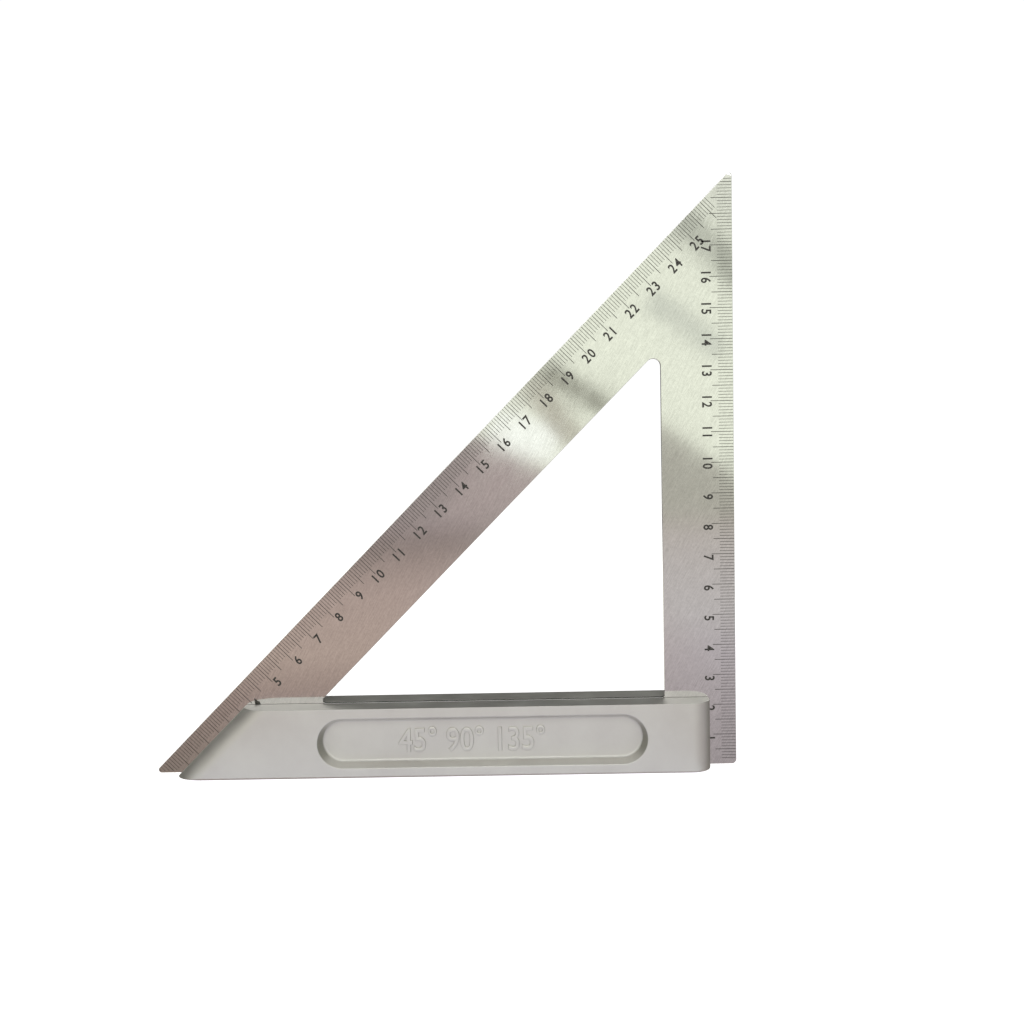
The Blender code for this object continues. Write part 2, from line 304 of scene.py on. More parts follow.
def make_zinc_plate():
    material, tree, shader = new_material("zinc_plated_steel")
    place = add_node(tree, "ShaderNodeTexCoord").outputs["Object"]
    cloud = add_node(tree, "ShaderNodeTexNoise", {"Scale": 1.0 / CLOUD_SIZE, "Detail": 4.0},
                     {"Vector": place})
    tint = set_stops(add_node(tree, "ShaderNodeValToRGB", {}, {"Fac": cloud.outputs["Fac"]}),
                     (0.30, "aeb1b3"), (0.70, "cfd2d2"))
    gloss = add_node(tree, "ShaderNodeMapRange", {"To Min": 0.22, "To Max": 0.42},
                     {"Value": cloud.outputs["Fac"]})
    shader.inputs["Metallic"].default_value = 1.0
    tree.links.new(tint, shader.inputs["Base Color"])
    tree.links.new(gloss.outputs["Result"], shader.inputs["Roughness"])
    return material


def make_etching_ink():
    material, tree, shader = new_material("black_etching_ink")
    place = add_node(tree, "ShaderNodeTexCoord").outputs["Object"]
    wear = add_node(tree, "ShaderNodeTexNoise", {"Scale": 1.0 / INK_WEAR_SIZE, "Detail": 3.0},
                    {"Vector": place})
    tint = set_stops(add_node(tree, "ShaderNodeValToRGB", {}, {"Fac": wear.outputs["Fac"]}),
                     (0.35, "23221f"), (0.75, "4a4842"))
    shader.inputs["Roughness"].default_value = 0.55
    tree.links.new(tint, shader.inputs["Base Color"])
    return material


plating = make_zinc_plate()
ink = make_etching_ink()
print("made", plating.name, "and", ink.name)

# %% [markdown]
# ## From a bmesh to a finished piece
#
# Every piece ends the same way: its mesh gets a name, a finish and smooth shading, the object is
# hung on the body it rides on, and the imported node that it stands for is hidden. Edges sharper
# than the limit stay crisp. The weighted normals keep the big flat faces flat in the shading
# although the narrow bevels beside them are round.

# %% Finishing helper
SHARP_ANGLE = math.radians(38.0)


def finish_piece(name, edit, material, stands_for=None):
    """Turn a bmesh into an object that rides on the tool; returns the object."""
    mesh = bpy.data.meshes.new(name)
    edit.to_mesh(mesh)
    edit.free()
    mesh.materials.append(material)
    mesh.shade_smooth()
    mesh.set_sharp_from_angle(angle=SHARP_ANGLE)
    piece = bpy.data.objects.new(name, mesh)
    bpy.context.scene.collection.objects.link(piece)
    weighted = piece.modifiers.new("flat_faces_stay_flat", "WEIGHTED_NORMAL")
    weighted.keep_sharp = True
    weighted.weight = 80
    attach(piece, "root")
    if stands_for:
        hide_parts(stands_for)
    print(f"{name}: {len(mesh.polygons)} faces")
    return piece


# %% [markdown]
# ## Drawing outlines with spin
#
# The blade and its window are triangles with round corners. Each corner is one point, spun
# through the angle that the outline turns there, so the arc is exact for any corner. The ends
# of neighbouring arcs are then joined by straight edges. All outlines lie in an upright plane.

# %% Outline helpers
def corner_arc(edit, corner, before, after, radius, steps):
    """Round one corner of an outline; returns the first and the last point of the arc."""
    back = (before - corner).normalized()
    ahead = (after - corner).normalized()
    half_angle = back.angle(ahead) / 2.0
    start = edit.verts.new(corner + back * (radius / math.tan(half_angle)))
    centre = corner + (back + ahead).normalized() * (radius / math.sin(half_angle))
    spun = bmesh.ops.spin(edit, geom=[start], cent=centre, axis=ahead.cross(back).normalized(),
                          dvec=(0.0, 0.0, 0.0), angle=math.pi - 2.0 * half_angle, steps=steps)
    return start, spun["geom_last"][0]


def rounded_outline(edit, corners, y, steps=8):
    """Draw a closed outline from (x, z, radius) corners and return its edges."""
    places = [Vector((x, y, z)) for x, z, _ in corners]
    arcs = []
    for index, (_, _, radius) in enumerate(corners):
        after = places[(index + 1) % len(places)]
        arcs.append(corner_arc(edit, places[index], places[index - 1], after, radius, steps))
    for index, (start, _) in enumerate(arcs):
        edit.edges.new((arcs[index - 1][1], start))
    return connected_edges(arcs[0][0])


def connected_edges(vert):
    """All the edges that can be reached from a point."""
    edges, front = set(), [vert]
    while front:
        for edge in front.pop().link_edges:
            if edge not in edges:
                edges.add(edge)
                front += edge.verts
    return list(edges)


def ring(edit, x, y, radius):
    """A circle around a screw's axis, at the middle height of the fence."""
    place = Matrix.Translation((x, y, MID_HEIGHT)) @ Matrix.Rotation(math.pi / 2.0, 4, "X")
    made = bmesh.ops.create_circle(edit, cap_ends=False, segments=RING_SIDES, radius=radius,
                                   matrix=place)
    return list({edge for vert in made["verts"] for edge in vert.link_edges})


def fill(edit, edges):
    """Fill the area between an outer outline and the outlines inside it."""
    made = bmesh.ops.triangle_fill(edit, use_beauty=True, use_dissolve=False, edges=edges,
                                   normal=(0.0, -1.0, 0.0))
    return [item for item in made["geom"] if isinstance(item, bmesh.types.BMFace)]


# %% [markdown]
# ## The blade
#
# The real blade is punched out in one stroke, window and screw holes included, and its edges
# are rubbed down afterwards. So the flat shape is filled once, given its thickness, and both
# faces are then inset and raised in two small steps, which rounds every edge by a tenth of a
# millimetre, the window and the holes too. A bevel would do the same on simple corners, but it
# gets confused by the long thin triangles of a filled outline.

# %% Blade
EDGE_BREAK = 0.12 * MM


def window_corners():
    right = HEEL_X - LEG_WIDTH
    foot = FENCE_HEIGHT
    long_edge_x = TOE_X + LEG_WIDTH * SQRT2
    return [(long_edge_x + foot, foot, WINDOW_FOOT_RADIUS), (right, foot, WINDOW_FOOT_RADIUS),
            (right, right - long_edge_x, WINDOW_TIP_RADIUS)]


def make_blade():
    edit = bmesh.new()
    corners = [(TOE_X, 0.0, TIP_RADIUS), (HEEL_X, 0.0, HEEL_RADIUS), (HEEL_X, LEG, TIP_RADIUS)]
    y = BLADE_FACE - EDGE_BREAK
    edges = rounded_outline(edit, corners, -y) + rounded_outline(edit, window_corners(), -y)
    for name in SCREW_NAMES:
        edges += ring(edit, screw_place(name)[0], -y, SHANK_RADIUS + SCREW_GAP)
    fill(edit, edges)
    grown = bmesh.ops.extrude_face_region(edit, geom=list(edit.faces))
    moved = [item for item in grown["geom"] if isinstance(item, bmesh.types.BMVert)]
    bmesh.ops.translate(edit, verts=moved, vec=(0.0, 2.0 * y, 0.0))
    bmesh.ops.recalc_face_normals(edit, faces=edit.faces)
    for side in (-1.0, 1.0):
        flat = [face for face in edit.faces if face.normal.y * side > 0.9]
        for share in (0.3, 0.7):
            bmesh.ops.inset_region(edit, faces=flat, thickness=EDGE_BREAK * share,
                                   depth=EDGE_BREAK * (1.0 - share), use_even_offset=True)
    return finish_piece("steel_blade", edit, steel, "blade")


make_blade()

# %% [markdown]
# ## The scales
#
# Centimetre scales run along the long edge and along the upright edge, both from zero at the
# foot. Each mark is a thin bar of ink lying in the steel: short for a millimetre, longer for
# a half centimetre and longest for a full one. A loop draws them all. The same scales are on
# both faces, so that the tool can be used either way round.

# %% Scale layout
SCALES = (
    # name, zero, direction, last millimetre, first and last number that fit on the blade
    ("long_edge", Vector((TOE_X, 0.0, 0.0)), Vector((1.0, 0.0, 1.0)).normalized(), 262, 2, 25),
    ("upright_edge", Vector((HEEL_X, 0.0, 0.0)), Vector((0.0, 0.0, 1.0)), 191, 1, 17),
)
MARK_WIDTH = 0.20 * MM
FINE_MARK_WIDTH = 0.15 * MM         # the millimetre marks are cut finer
MARK_LENGTHS = (4.7 * MM, 6.7 * MM, 7.3 * MM)    # millimetre, half centimetre, centimetre
FIRST_MARK = 2                      # the corner is too narrow for the first millimetre
MARK_INSET = 0.15 * MM              # from the edge of the blade to the near end of a mark
FOOT_MARGIN = 1.0 * MM              # steel kept between the lowest marks and the foot
LONG_EDGE_MARGIN = 0.6 * MM         # and between the highest marks and the long edge
INK_DEPTH = 0.02 * MM
INK_STANDS = 0.008 * MM


def face_axes(along, side):
    """Text axes on one face of the blade: reading direction, up and out of the face."""
    out = Vector((0.0, side, 0.0))
    up = Vector((-along.z, 0.0, along.x)) if along.x > 0.1 else Vector((1.0, 0.0, 0.0))
    return up.cross(out), up, out


def placed(centre, reading, up, out):
    """A matrix with its x, y and z along reading, up and out."""
    turn = Matrix((reading, up, out)).transposed().to_4x4()
    return Matrix.Translation(centre) @ turn


def mark_length(millimetre):
    if millimetre % 10 == 0:
        return MARK_LENGTHS[2]
    return MARK_LENGTHS[1] if millimetre % 5 == 0 else MARK_LENGTHS[0]


def make_marks(side, name):
    edit = bmesh.new()
    middle = side * (BLADE_FACE + (INK_STANDS - INK_DEPTH) / 2.0)
    for name_of_edge, zero, along, last, _, _ in SCALES:
        reading, up, out = face_axes(along, side)
        for millimetre in range(FIRST_MARK, last + 1):
            length = mark_length(millimetre)
            width = FINE_MARK_WIDTH if length == MARK_LENGTHS[0] else MARK_WIDTH
            if name_of_edge == "long_edge":     # the foot of the blade cuts the first few short
                length = min(length, millimetre * MM - FOOT_MARGIN)
            else:                               # and the long edge the last few
                length = min(length, LEG - millimetre * MM - LONG_EDGE_MARGIN)
            centre = zero + along * (millimetre * MM) - up * (length / 2.0 + MARK_INSET)
            centre.y = middle
            size = Matrix.Diagonal((width, length, INK_DEPTH + INK_STANDS, 1.0))
            bmesh.ops.create_cube(edit, size=1.0, matrix=placed(centre, reading, up, out) @ size)
    return finish_piece(name, edit, ink)


# %% Marks
make_marks(-1.0, "front_scale_marks")
make_marks(1.0, "rear_scale_marks")

# %% [markdown]
# ## The numerals
#
# The numerals are plain upright digits a little over 3 mm high, in a field of two places that
# is centred on the mark, so a single digit stands in the second place. Blender's own font is
# close to the die's, once it is narrowed and its strokes thickened. Each digit is made once
# as a mesh and then copied to wherever the scales need it.

# %% Digits
DIGIT_HEIGHT = 3.2 * MM
DIGIT_PITCH = 2.45 * MM
DIGIT_MIDDLE = 8.55 * MM            # from the edge of the blade to the middle of a digit
CAP_SHARE = 0.729                   # height of a digit as a share of the font's size
DIGIT_NARROWING = 0.86
STROKE_THICKENING = 0.10 * MM


def text_mesh(text, size, thicken, extrude, bevel=0.0, resolution=3):
    """A flat text turned into a mesh, centred on its own origin."""
    curve = bpy.data.curves.new("text", "FONT")
    curve.body = text
    curve.size = size
    curve.offset = thicken
    curve.extrude = extrude
    curve.bevel_depth = bevel
    curve.bevel_resolution = 1
    curve.resolution_u = resolution
    curve.align_x = "CENTER"
    holder = bpy.data.objects.new("text", curve)
    bpy.context.scene.collection.objects.link(holder)
    bpy.context.view_layer.update()
    graph = bpy.context.evaluated_depsgraph_get()
    mesh = bpy.data.meshes.new_from_object(holder.evaluated_get(graph))
    bpy.data.objects.remove(holder, do_unlink=True)
    edit = bmesh.new()
    edit.from_mesh(mesh)
    bmesh.ops.remove_doubles(edit, verts=edit.verts, dist=1e-7)
    edit.to_mesh(mesh)
    edit.free()
    return mesh


def centred(mesh):
    """Move a mesh so that the middle of its box is at the origin."""
    for axis in range(3):
        values = [vert.co[axis] for vert in mesh.vertices]
        shift = [0.0, 0.0, 0.0]
        shift[axis] = -(min(values) + max(values)) / 2.0
        mesh.transform(Matrix.Translation(shift))
    return mesh


def make_digits():
    size = DIGIT_HEIGHT / CAP_SHARE
    narrow = Matrix.Diagonal((DIGIT_NARROWING, 1.0, 1.0, 1.0))
    digits = {}
    for digit in "0123456789":
        mesh = centred(text_mesh(digit, size, STROKE_THICKENING, (INK_DEPTH + INK_STANDS) / 2.0))
        mesh.transform(narrow)
        digits[digit] = mesh
    return digits


def make_numerals(side, name, digits):
    edit = bmesh.new()
    for _, zero, along, _, first_number, last_number in SCALES:
        reading, up, out = face_axes(along, side)
        for number in range(first_number, last_number + 1):
            for slot, digit in zip((-0.5, 0.5), f"{number:2d}"):
                if digit == " ":
                    continue
                centre = zero + along * (number * 10.0 * MM) - up * DIGIT_MIDDLE
                centre += reading * (slot * DIGIT_PITCH)
                centre.y = side * (BLADE_FACE + (INK_STANDS - INK_DEPTH) / 2.0)
                first = len(edit.verts)
                edit.from_mesh(digits[digit])
                edit.verts.ensure_lookup_table()
                bmesh.ops.transform(edit, matrix=placed(centre, reading, up, out),
                                    verts=edit.verts[first:])
    return finish_piece(name, edit, ink)


digits = make_digits()
make_numerals(-1.0, "front_numerals", digits)
make_numerals(1.0, "rear_numerals", digits)

# %% [markdown]
# ## The fence halves
#
# Each half is a bar with a slanted end and a square end. Its outer upright corners are large
# quarter rounds, its top edge a smaller one and its foot a smaller one still, as a die needs
# to let go of the casting. The bar is one face pushed through its depth, and three bevels
# round it. The edges on the jaw side stay sharp, because they close against the steel.

# %% Bar of a fence half
END_RADIUS = 6.5 * MM
TOP_EDGE_RADIUS = 1.2 * MM
FOOT_EDGE_RADIUS = 0.6 * MM
SLACK = 0.01 * MM


def round_edges(edit, wanted, radius, segments):
    """Bevel the edges for which wanted says yes."""
    edges = [edge for edge in edit.edges if wanted(*(vert.co for vert in edge.verts))]
    bmesh.ops.bevel(edit, geom=edges, offset=radius, offset_type="OFFSET", affect="EDGES",
                    segments=segments, profile=0.5, material=-1, clamp_overlap=True)


def make_bar(edit):
    """The solid bar of the front half, outer face towards -Y."""
    slant_x = front_low.x
    corners = ((slant_x, 0.0), (front_high.x, 0.0), (front_high.x, FENCE_HEIGHT),
               (slant_x + FENCE_HEIGHT, FENCE_HEIGHT))
    face = edit.faces.new([edit.verts.new((x, -JAW_FACE, z)) for x, z in corners])
    grown = bmesh.ops.extrude_face_region(edit, geom=[face])
    moved = [item for item in grown["geom"] if isinstance(item, bmesh.types.BMVert)]
    bmesh.ops.translate(edit, verts=moved, vec=(0.0, JAW_FACE - OUTER_FACE, 0.0))
    bmesh.ops.recalc_face_normals(edit, faces=edit.faces)
    round_edges(edit, lambda a, b: max(a.y, b.y) < -OUTER_FACE + SLACK and abs(a.z - b.z) > SLACK,
                END_RADIUS, 14)
    for height, radius, segments in ((FENCE_HEIGHT, TOP_EDGE_RADIUS, 5),
                                     (0.0, FOOT_EDGE_RADIUS, 3)):
        round_edges(edit, lambda a, b: max(abs(a.z - height), abs(b.z - height)) < SLACK
                    and max(a.y, b.y) < -JAW_FACE - SLACK, radius, segments)


# %% [markdown]
# ## The pocket
#
# A long shallow pocket saves metal and gives the fingers a grip. In section its wall is a
# rounded lip, a straight stretch with draft and a fillet into the floor. The section is worked
# out as two arcs on one slanted line. Each step of it insets the pocket's lid a little and
# pushes it in a little, so the lid ends up as the floor.

# %% Pocket section
POCKET_LENGTH = 107.3 * MM
POCKET_HEIGHT = 16.2 * MM
POCKET_DRAFT = 1.3 * MM
POCKET_DEPTH = OUTER_FACE - POCKET_FLOOR
POCKET_X = HEEL_X - 83.85 * MM
LIP_RADIUS = 0.45 * MM
FLOOR_FILLET = 1.0 * MM


def pocket_section(steps=6):
    """Points of the wall, as (how far in, how deep), from the face to the floor."""
    slope = math.atan2(POCKET_DEPTH, POCKET_DRAFT)
    lip = LIP_RADIUS * math.tan(slope / 2.0)
    foot = FLOOR_FILLET * math.tan(slope / 2.0)
    headings = [slope * step / steps for step in range(steps + 1)]
    section = [(LIP_RADIUS * math.sin(h) - lip, LIP_RADIUS * (1.0 - math.cos(h))) for h in headings]
    bend_x = POCKET_DRAFT - foot * math.cos(slope) + FLOOR_FILLET * math.sin(slope)
    bend_y = POCKET_DEPTH - foot * math.sin(slope) - FLOOR_FILLET * math.cos(slope)
    section += [(bend_x - FLOOR_FILLET * math.sin(h), bend_y + FLOOR_FILLET * math.cos(h))
                for h in reversed(headings)]
    return section


print("pocket wall, mm:", [(round(a / MM, 2), round(b / MM, 2)) for a, b in pocket_section()])


# %% Pocket and holes
def pocket_rim(edit, grow, steps=48):
    """The pocket's outline on the outer face: a slot with round ends."""
    radius = POCKET_HEIGHT / 2.0 + grow
    reach = POCKET_LENGTH / 2.0 - POCKET_HEIGHT / 2.0
    ends = []
    for side in (1.0, -1.0):
        middle = (POCKET_X + side * reach, -OUTER_FACE, MID_HEIGHT)
        start = edit.verts.new((middle[0], middle[1], MID_HEIGHT - side * radius))
        spun = bmesh.ops.spin(edit, geom=[start], cent=middle, axis=(0.0, -1.0, 0.0),
                              dvec=(0.0, 0.0, 0.0), angle=math.pi, steps=steps // 2)
        ends.append((start, spun["geom_last"][0]))
    edit.edges.new((ends[0][1], ends[1][0]))
    edit.edges.new((ends[1][1], ends[0][0]))
    return connected_edges(ends[0][0])


def biggest_face(edit, side):
    """The largest face that looks along side * Y."""
    facing = [face for face in edit.faces if face.normal.y * side > 0.99]
    return max(facing, key=lambda face: face.calc_area())


def open_face(edit, face, outlines):
    """Swap a face for one with holes in it along the given outlines."""
    border = list(face.edges)
    bmesh.ops.delete(edit, geom=[face], context="FACES_ONLY")
    fill(edit, border + [edge for outline in outlines for edge in outline])


def push_ring(edit, edges, x, radius_change, y_change):
    """Extrude a circle of edges along Y while it grows or shrinks; returns the new circle."""
    grown = bmesh.ops.extrude_edge_only(edit, edges=edges)["geom"]
    verts = [item for item in grown if isinstance(item, bmesh.types.BMVert)]
    bmesh.ops.scale(edit, vec=(radius_change, 1.0, radius_change), verts=verts,
                    space=Matrix.Translation((-x, 0.0, -MID_HEIGHT)))
    bmesh.ops.translate(edit, verts=verts, vec=(0.0, y_change, 0.0))
    return [item for item in grown if isinstance(item, bmesh.types.BMEdge)
            and all(vert in verts for vert in item.verts)]


def sink_pocket(edit, rim):
    """Push the pocket's lid in along its section; returns the floor."""
    section = pocket_section()
    floor = edit.faces.new(ordered_verts(rim))
    floor.normal_update()
    if floor.normal.y > 0.0:
        floor.normal_flip()
    for (in_a, deep_a), (in_b, deep_b) in zip(section, section[1:]):
        bmesh.ops.inset_region(edit, faces=[floor], thickness=in_b - in_a, depth=deep_a - deep_b,
                               use_even_offset=True, use_boundary=True)
    return floor


def ordered_verts(edges):
    """The points of a closed outline, in order around it."""
    edges = set(edges)
    vert = next(iter(edges)).verts[0]
    order = []
    while edges:
        edge = next(edge for edge in vert.link_edges if edge in edges)
        edges.remove(edge)
        order.append(vert)
        vert = edge.other_vert(vert)
    return order


# %% [markdown]
# The front half has blind threaded holes in its jaw face, which take the ends of the screws.
# The rear half has through holes with a countersink for each head: two in the thick ends and
# two in the floor of the pocket. Each hole is a circle that is pushed through the metal and
# widened or narrowed on the way, so it shares its rim with the face around it.

# %% Both halves
def make_front_half():
    edit = bmesh.new()
    make_bar(edit)
    rim = pocket_rim(edit, -pocket_section()[0][0])
    open_face(edit, biggest_face(edit, -1.0), [rim])
    sink_pocket(edit, rim)
    holes = [(x, low) for x, low, _ in (screw_place(name) for name in SCREW_NAMES)]
    mouths = [ring(edit, x, -JAW_FACE, SHANK_RADIUS + SCREW_GAP) for x, _ in holes]
    open_face(edit, biggest_face(edit, 1.0), mouths)
    for (x, low), mouth in zip(holes, mouths):
        bottom = push_ring(edit, mouth, x, 1.0, low - SCREW_GAP + JAW_FACE)
        bmesh.ops.contextual_create(edit, geom=bottom)
    bmesh.ops.recalc_face_normals(edit, faces=edit.faces)
    return finish_piece("front_casting", edit, casting, "front_fence")


def make_rear_half():
    """Made facing -Y like the front half, and then mirrored to the other side."""
    edit = bmesh.new()
    make_bar(edit)
    rim = pocket_rim(edit, -pocket_section()[0][0])
    holes = []
    for x, _, high in (screw_place(name) for name in SCREW_NAMES):
        seat = high + SCREW_SINK
        holes.append((x, seat, ring(edit, x, -seat, HEAD_RADIUS + SCREW_GAP)))
    at_ends = [hole[2] for hole in holes if hole[1] > OUTER_FACE - SLACK]
    in_floor = [hole[2] for hole in holes if hole[1] < OUTER_FACE - SLACK]
    open_face(edit, biggest_face(edit, -1.0), [rim] + at_ends)
    open_face(edit, sink_pocket(edit, rim), in_floor)
    jaws = [ring(edit, x, -JAW_FACE, SHANK_RADIUS + SCREW_GAP) for x, _, _ in holes]
    open_face(edit, biggest_face(edit, 1.0), jaws)
    narrowing = (SHANK_RADIUS + SCREW_GAP) / (HEAD_RADIUS + SCREW_GAP)
    for (x, _, mouth), jaw in zip(holes, jaws):
        brim = push_ring(edit, mouth, x, 1.0, SCREW_SINK)
        throat = push_ring(edit, brim, x, narrowing, HEAD_HEIGHT)
        bmesh.ops.bridge_loops(edit, edges=throat + jaw)
    bmesh.ops.scale(edit, vec=(1.0, -1.0, 1.0), verts=edit.verts)
    bmesh.ops.recalc_face_normals(edit, faces=edit.faces)
    return finish_piece("rear_casting", edit, casting, "rear_fence")


make_front_half()
make_rear_half()

# %% [markdown]
# ## Raised angles in the pocket
#
# The floor of the pocket carries low raised lettering from the die. Here it gives the angles
# that the tool lays out. The characters are flat text with a rounded edge, sunk into the floor
# and standing up by a few tenths of a millimetre, with the same cast finish.

# %% Raised angles
RELIEF_HEIGHT = 8.0 * MM
RELIEF_STANDS = 0.45 * MM
RELIEF_EDGE = 0.26 * MM              # radius of the characters' rounded edge
RELIEF_BODY = 0.2 * MM               # half their thickness between the rounded edges
RELIEF_THINNING = -0.04 * MM         # takes back a little of what the rounded edge adds
RELIEF_NARROWING = 0.84
RELIEF_X = 9.0 * MM


def make_relief():
    mesh = centred(text_mesh("45° 90° 135°", RELIEF_HEIGHT / CAP_SHARE, RELIEF_THINNING,
                             RELIEF_BODY, RELIEF_EDGE, 6))
    out = Vector((0.0, -1.0, 0.0))
    up = Vector((0.0, 0.0, 1.0))
    half_depth = max(vert.co.z for vert in mesh.vertices)
    centre = Vector((RELIEF_X, -POCKET_FLOOR - RELIEF_STANDS + half_depth, MID_HEIGHT))
    edit = bmesh.new()
    edit.from_mesh(mesh)
    bmesh.ops.scale(edit, vec=(RELIEF_NARROWING, 1.0, 1.0), verts=edit.verts)
    bmesh.ops.transform(edit, matrix=placed(centre, up.cross(out), up, out), verts=edit.verts)
    return finish_piece("raised_angles", edit, casting)


make_relief()

# %% [markdown]
# ## The screws
#
# Four M4 countersunk screws with a cross recess hold the sandwich together. The profile of a
# screw is turned once about its axis: tip, thread, and the cone of the head with a slightly
# crowned top. The thread is drawn as separate ridges instead of a helix, which looks the same
# and stays inside the castings. The recess is a plus-shaped outline in the head's top that is
# pushed in and narrowed, so it tapers as a real one does.

# %% Screws
THREAD_PITCH = 0.7 * MM
THREAD_DEPTH = 0.4 * MM
TIP_CHAMFER = 0.6 * MM
RECESS_SPAN = 4.2 * MM
RECESS_WIDTH = 0.9 * MM
RECESS_DEPTH = 1.4 * MM
RECESS_TAPER = 0.55                  # width of the recess at its floor, as a share of its mouth
HEAD_BRIM = 0.25 * MM                # height of the head's upright rim


def screw_profile(low, high):
    """Radius and place along the axis, from the tip to the rim of the head's flat top."""
    profile = [(0.0, low), (SHANK_RADIUS - TIP_CHAMFER, low),
               (SHANK_RADIUS - THREAD_DEPTH, low + TIP_CHAMFER / 2.0)]
    y = low + TIP_CHAMFER
    neck = high - HEAD_HEIGHT - THREAD_PITCH
    while y < neck:
        profile += [(SHANK_RADIUS - THREAD_DEPTH, y), (SHANK_RADIUS, y + 0.4 * THREAD_PITCH),
                    (SHANK_RADIUS, y + 0.55 * THREAD_PITCH)]
        y += THREAD_PITCH
    profile += [(SHANK_RADIUS, high - HEAD_HEIGHT), (HEAD_RADIUS - 0.02 * MM, high - HEAD_BRIM),
                (HEAD_RADIUS, high - 0.6 * HEAD_BRIM),
                (HEAD_RADIUS - 0.1 * MM, high - 0.2 * HEAD_BRIM), (HEAD_RADIUS - 0.35 * MM, high)]
    return profile


def plus_outline(edit, x, y):
    """The mouth of the cross recess, drawn corner by corner for one arm and turned for four."""
    half = RECESS_WIDTH / 2.0
    reach = RECESS_SPAN / 2.0
    inner = half * 1.3               # the inner corners are filled a little, for strength
    points = []
    for quarter in range(4):
        turn = Matrix.Rotation(-quarter * math.pi / 2.0, 3, "Y")
        for a, b in ((reach, -half), (reach, half), (inner, inner)):
            points.append(turn @ Vector((a, 0.0, b)))
    verts = [edit.verts.new(Vector((x, y, MID_HEIGHT)) + point) for point in points]
    return [edit.edges.new((verts[i - 1], verts[i])) for i in range(len(verts))]


def make_screw(name):
    x, low, high = screw_place(name)
    edit = bmesh.new()
    verts = [edit.verts.new((x + radius, y, MID_HEIGHT)) for radius, y in screw_profile(low, high)]
    edges = [edit.edges.new(pair) for pair in zip(verts, verts[1:])]
    bmesh.ops.spin(edit, geom=verts + edges, cent=(x, 0.0, MID_HEIGHT), axis=(0.0, 1.0, 0.0),
                   dvec=(0.0, 0.0, 0.0), angle=math.tau, steps=RING_SIDES, use_merge=True)
    bmesh.ops.remove_doubles(edit, verts=edit.verts, dist=1e-6)
    rim = [edge for edge in edit.edges if edge.is_boundary]
    plus = plus_outline(edit, x, high)
    fill(edit, rim + plus)
    sunk = bmesh.ops.extrude_edge_only(edit, edges=plus)["geom"]
    floor = [item for item in sunk if isinstance(item, bmesh.types.BMVert)]
    bmesh.ops.scale(edit, vec=(RECESS_TAPER, 1.0, RECESS_TAPER), verts=floor,
                    space=Matrix.Translation((-x, 0.0, -MID_HEIGHT)))
    bmesh.ops.translate(edit, verts=floor, vec=(0.0, -RECESS_DEPTH, 0.0))
    bottom = [item for item in sunk if isinstance(item, bmesh.types.BMEdge)
              and all(vert in floor for vert in item.verts)]
    bmesh.ops.contextual_create(edit, geom=bottom)
    bmesh.ops.recalc_face_normals(edit, faces=edit.faces)
    return finish_piece("plated_" + name, edit, plating, name)


for name in SCREW_NAMES:
    make_screw(name)

# %% [markdown]
# ## Floor and light
#
# The tool stands on a plain white floor in white surroundings. What the camera sees and what
# the metal mirrors are set apart, as in a studio: the camera gets white all round, and the
# metal gets a bench in front of the tool, screens behind the camera and a dim room elsewhere.
# A flat ground face mirrors its surroundings almost sharply, so the screens are what gives the
# steel its bands.

# %% Room
BACKDROP_STRENGTH = 1.05             # a little over white, so that it stays white when rendered
DIM_ROOM = "40413e"

bpy.context.scene.view_settings.view_transform = "Standard"
world = bpy.data.worlds.new("studio")
bpy.context.scene.world = world
world.use_nodes = True
room = world.node_tree
seen = room.nodes["Background"]
seen.inputs["Color"].default_value = (1.0, 1.0, 1.0, 1.0)
seen.inputs["Strength"].default_value = BACKDROP_STRENGTH
mirrored = add_node(room, "ShaderNodeBackground", {"Color": srgb(DIM_ROOM)})
which = add_node(room, "ShaderNodeLightPath")
both = add_node(room, "ShaderNodeMixShader", {},
                {0: which.outputs["Is Camera Ray"], 1: mirrored.outputs["Background"],
                 2: seen.outputs["Background"]})
room.links.new(both.outputs["Shader"], room.nodes["World Output"].inputs["Surface"])
print("backdrop strength", BACKDROP_STRENGTH, "and mirrored room", DIM_ROOM)

# %% [markdown]
# Steel gives back about two thirds of what it mirrors. So every colour below is written as it
# should look in the steel, and one strength makes up for the loss. The last two screens are for
# the dull castings, which mix light from a wide angle: a card on the floor lights the fence
# from below and in front, and a large screen, too high for the blade to mirror, from above.

# %% Screens
STEEL_LOSS = 1.62                    # one over the share of light that the steel mirrors
HIGH_SCREEN_BOOST = 2.3              # the high screen is that much brighter than its colour
SCREEN_DISTANCE = 1300.0             # millimetres, as are all the sizes of the screens
SCREEN_STEP = 2.0                    # each next screen hangs this much nearer


def flat_object(name, width, height, place, turn, material):
    """A flat rectangle for the stage, facing its own +Z before it is turned."""
    edit = bmesh.new()
    bmesh.ops.create_grid(edit, x_segments=1, y_segments=1, size=0.5)
    bmesh.ops.scale(edit, vec=(width, height, 1.0), verts=edit.verts)
    mesh = bpy.data.meshes.new(name)
    edit.to_mesh(mesh)
    edit.free()
    mesh.materials.append(material)
    flat = bpy.data.objects.new(name, mesh)
    flat.location = place
    flat.rotation_euler = [math.radians(angle) for angle in turn]
    bpy.context.scene.collection.objects.link(flat)
    return flat


def glow(name, colour, strength):
    """A material that shines evenly."""
    material, tree, _ = new_material(name)
    tree.nodes.clear()
    lit = add_node(tree, "ShaderNodeEmission", {"Color": srgb(colour), "Strength": strength})
    add_node(tree, "ShaderNodeOutputMaterial", {}, {"Surface": lit.outputs["Emission"]})
    return material


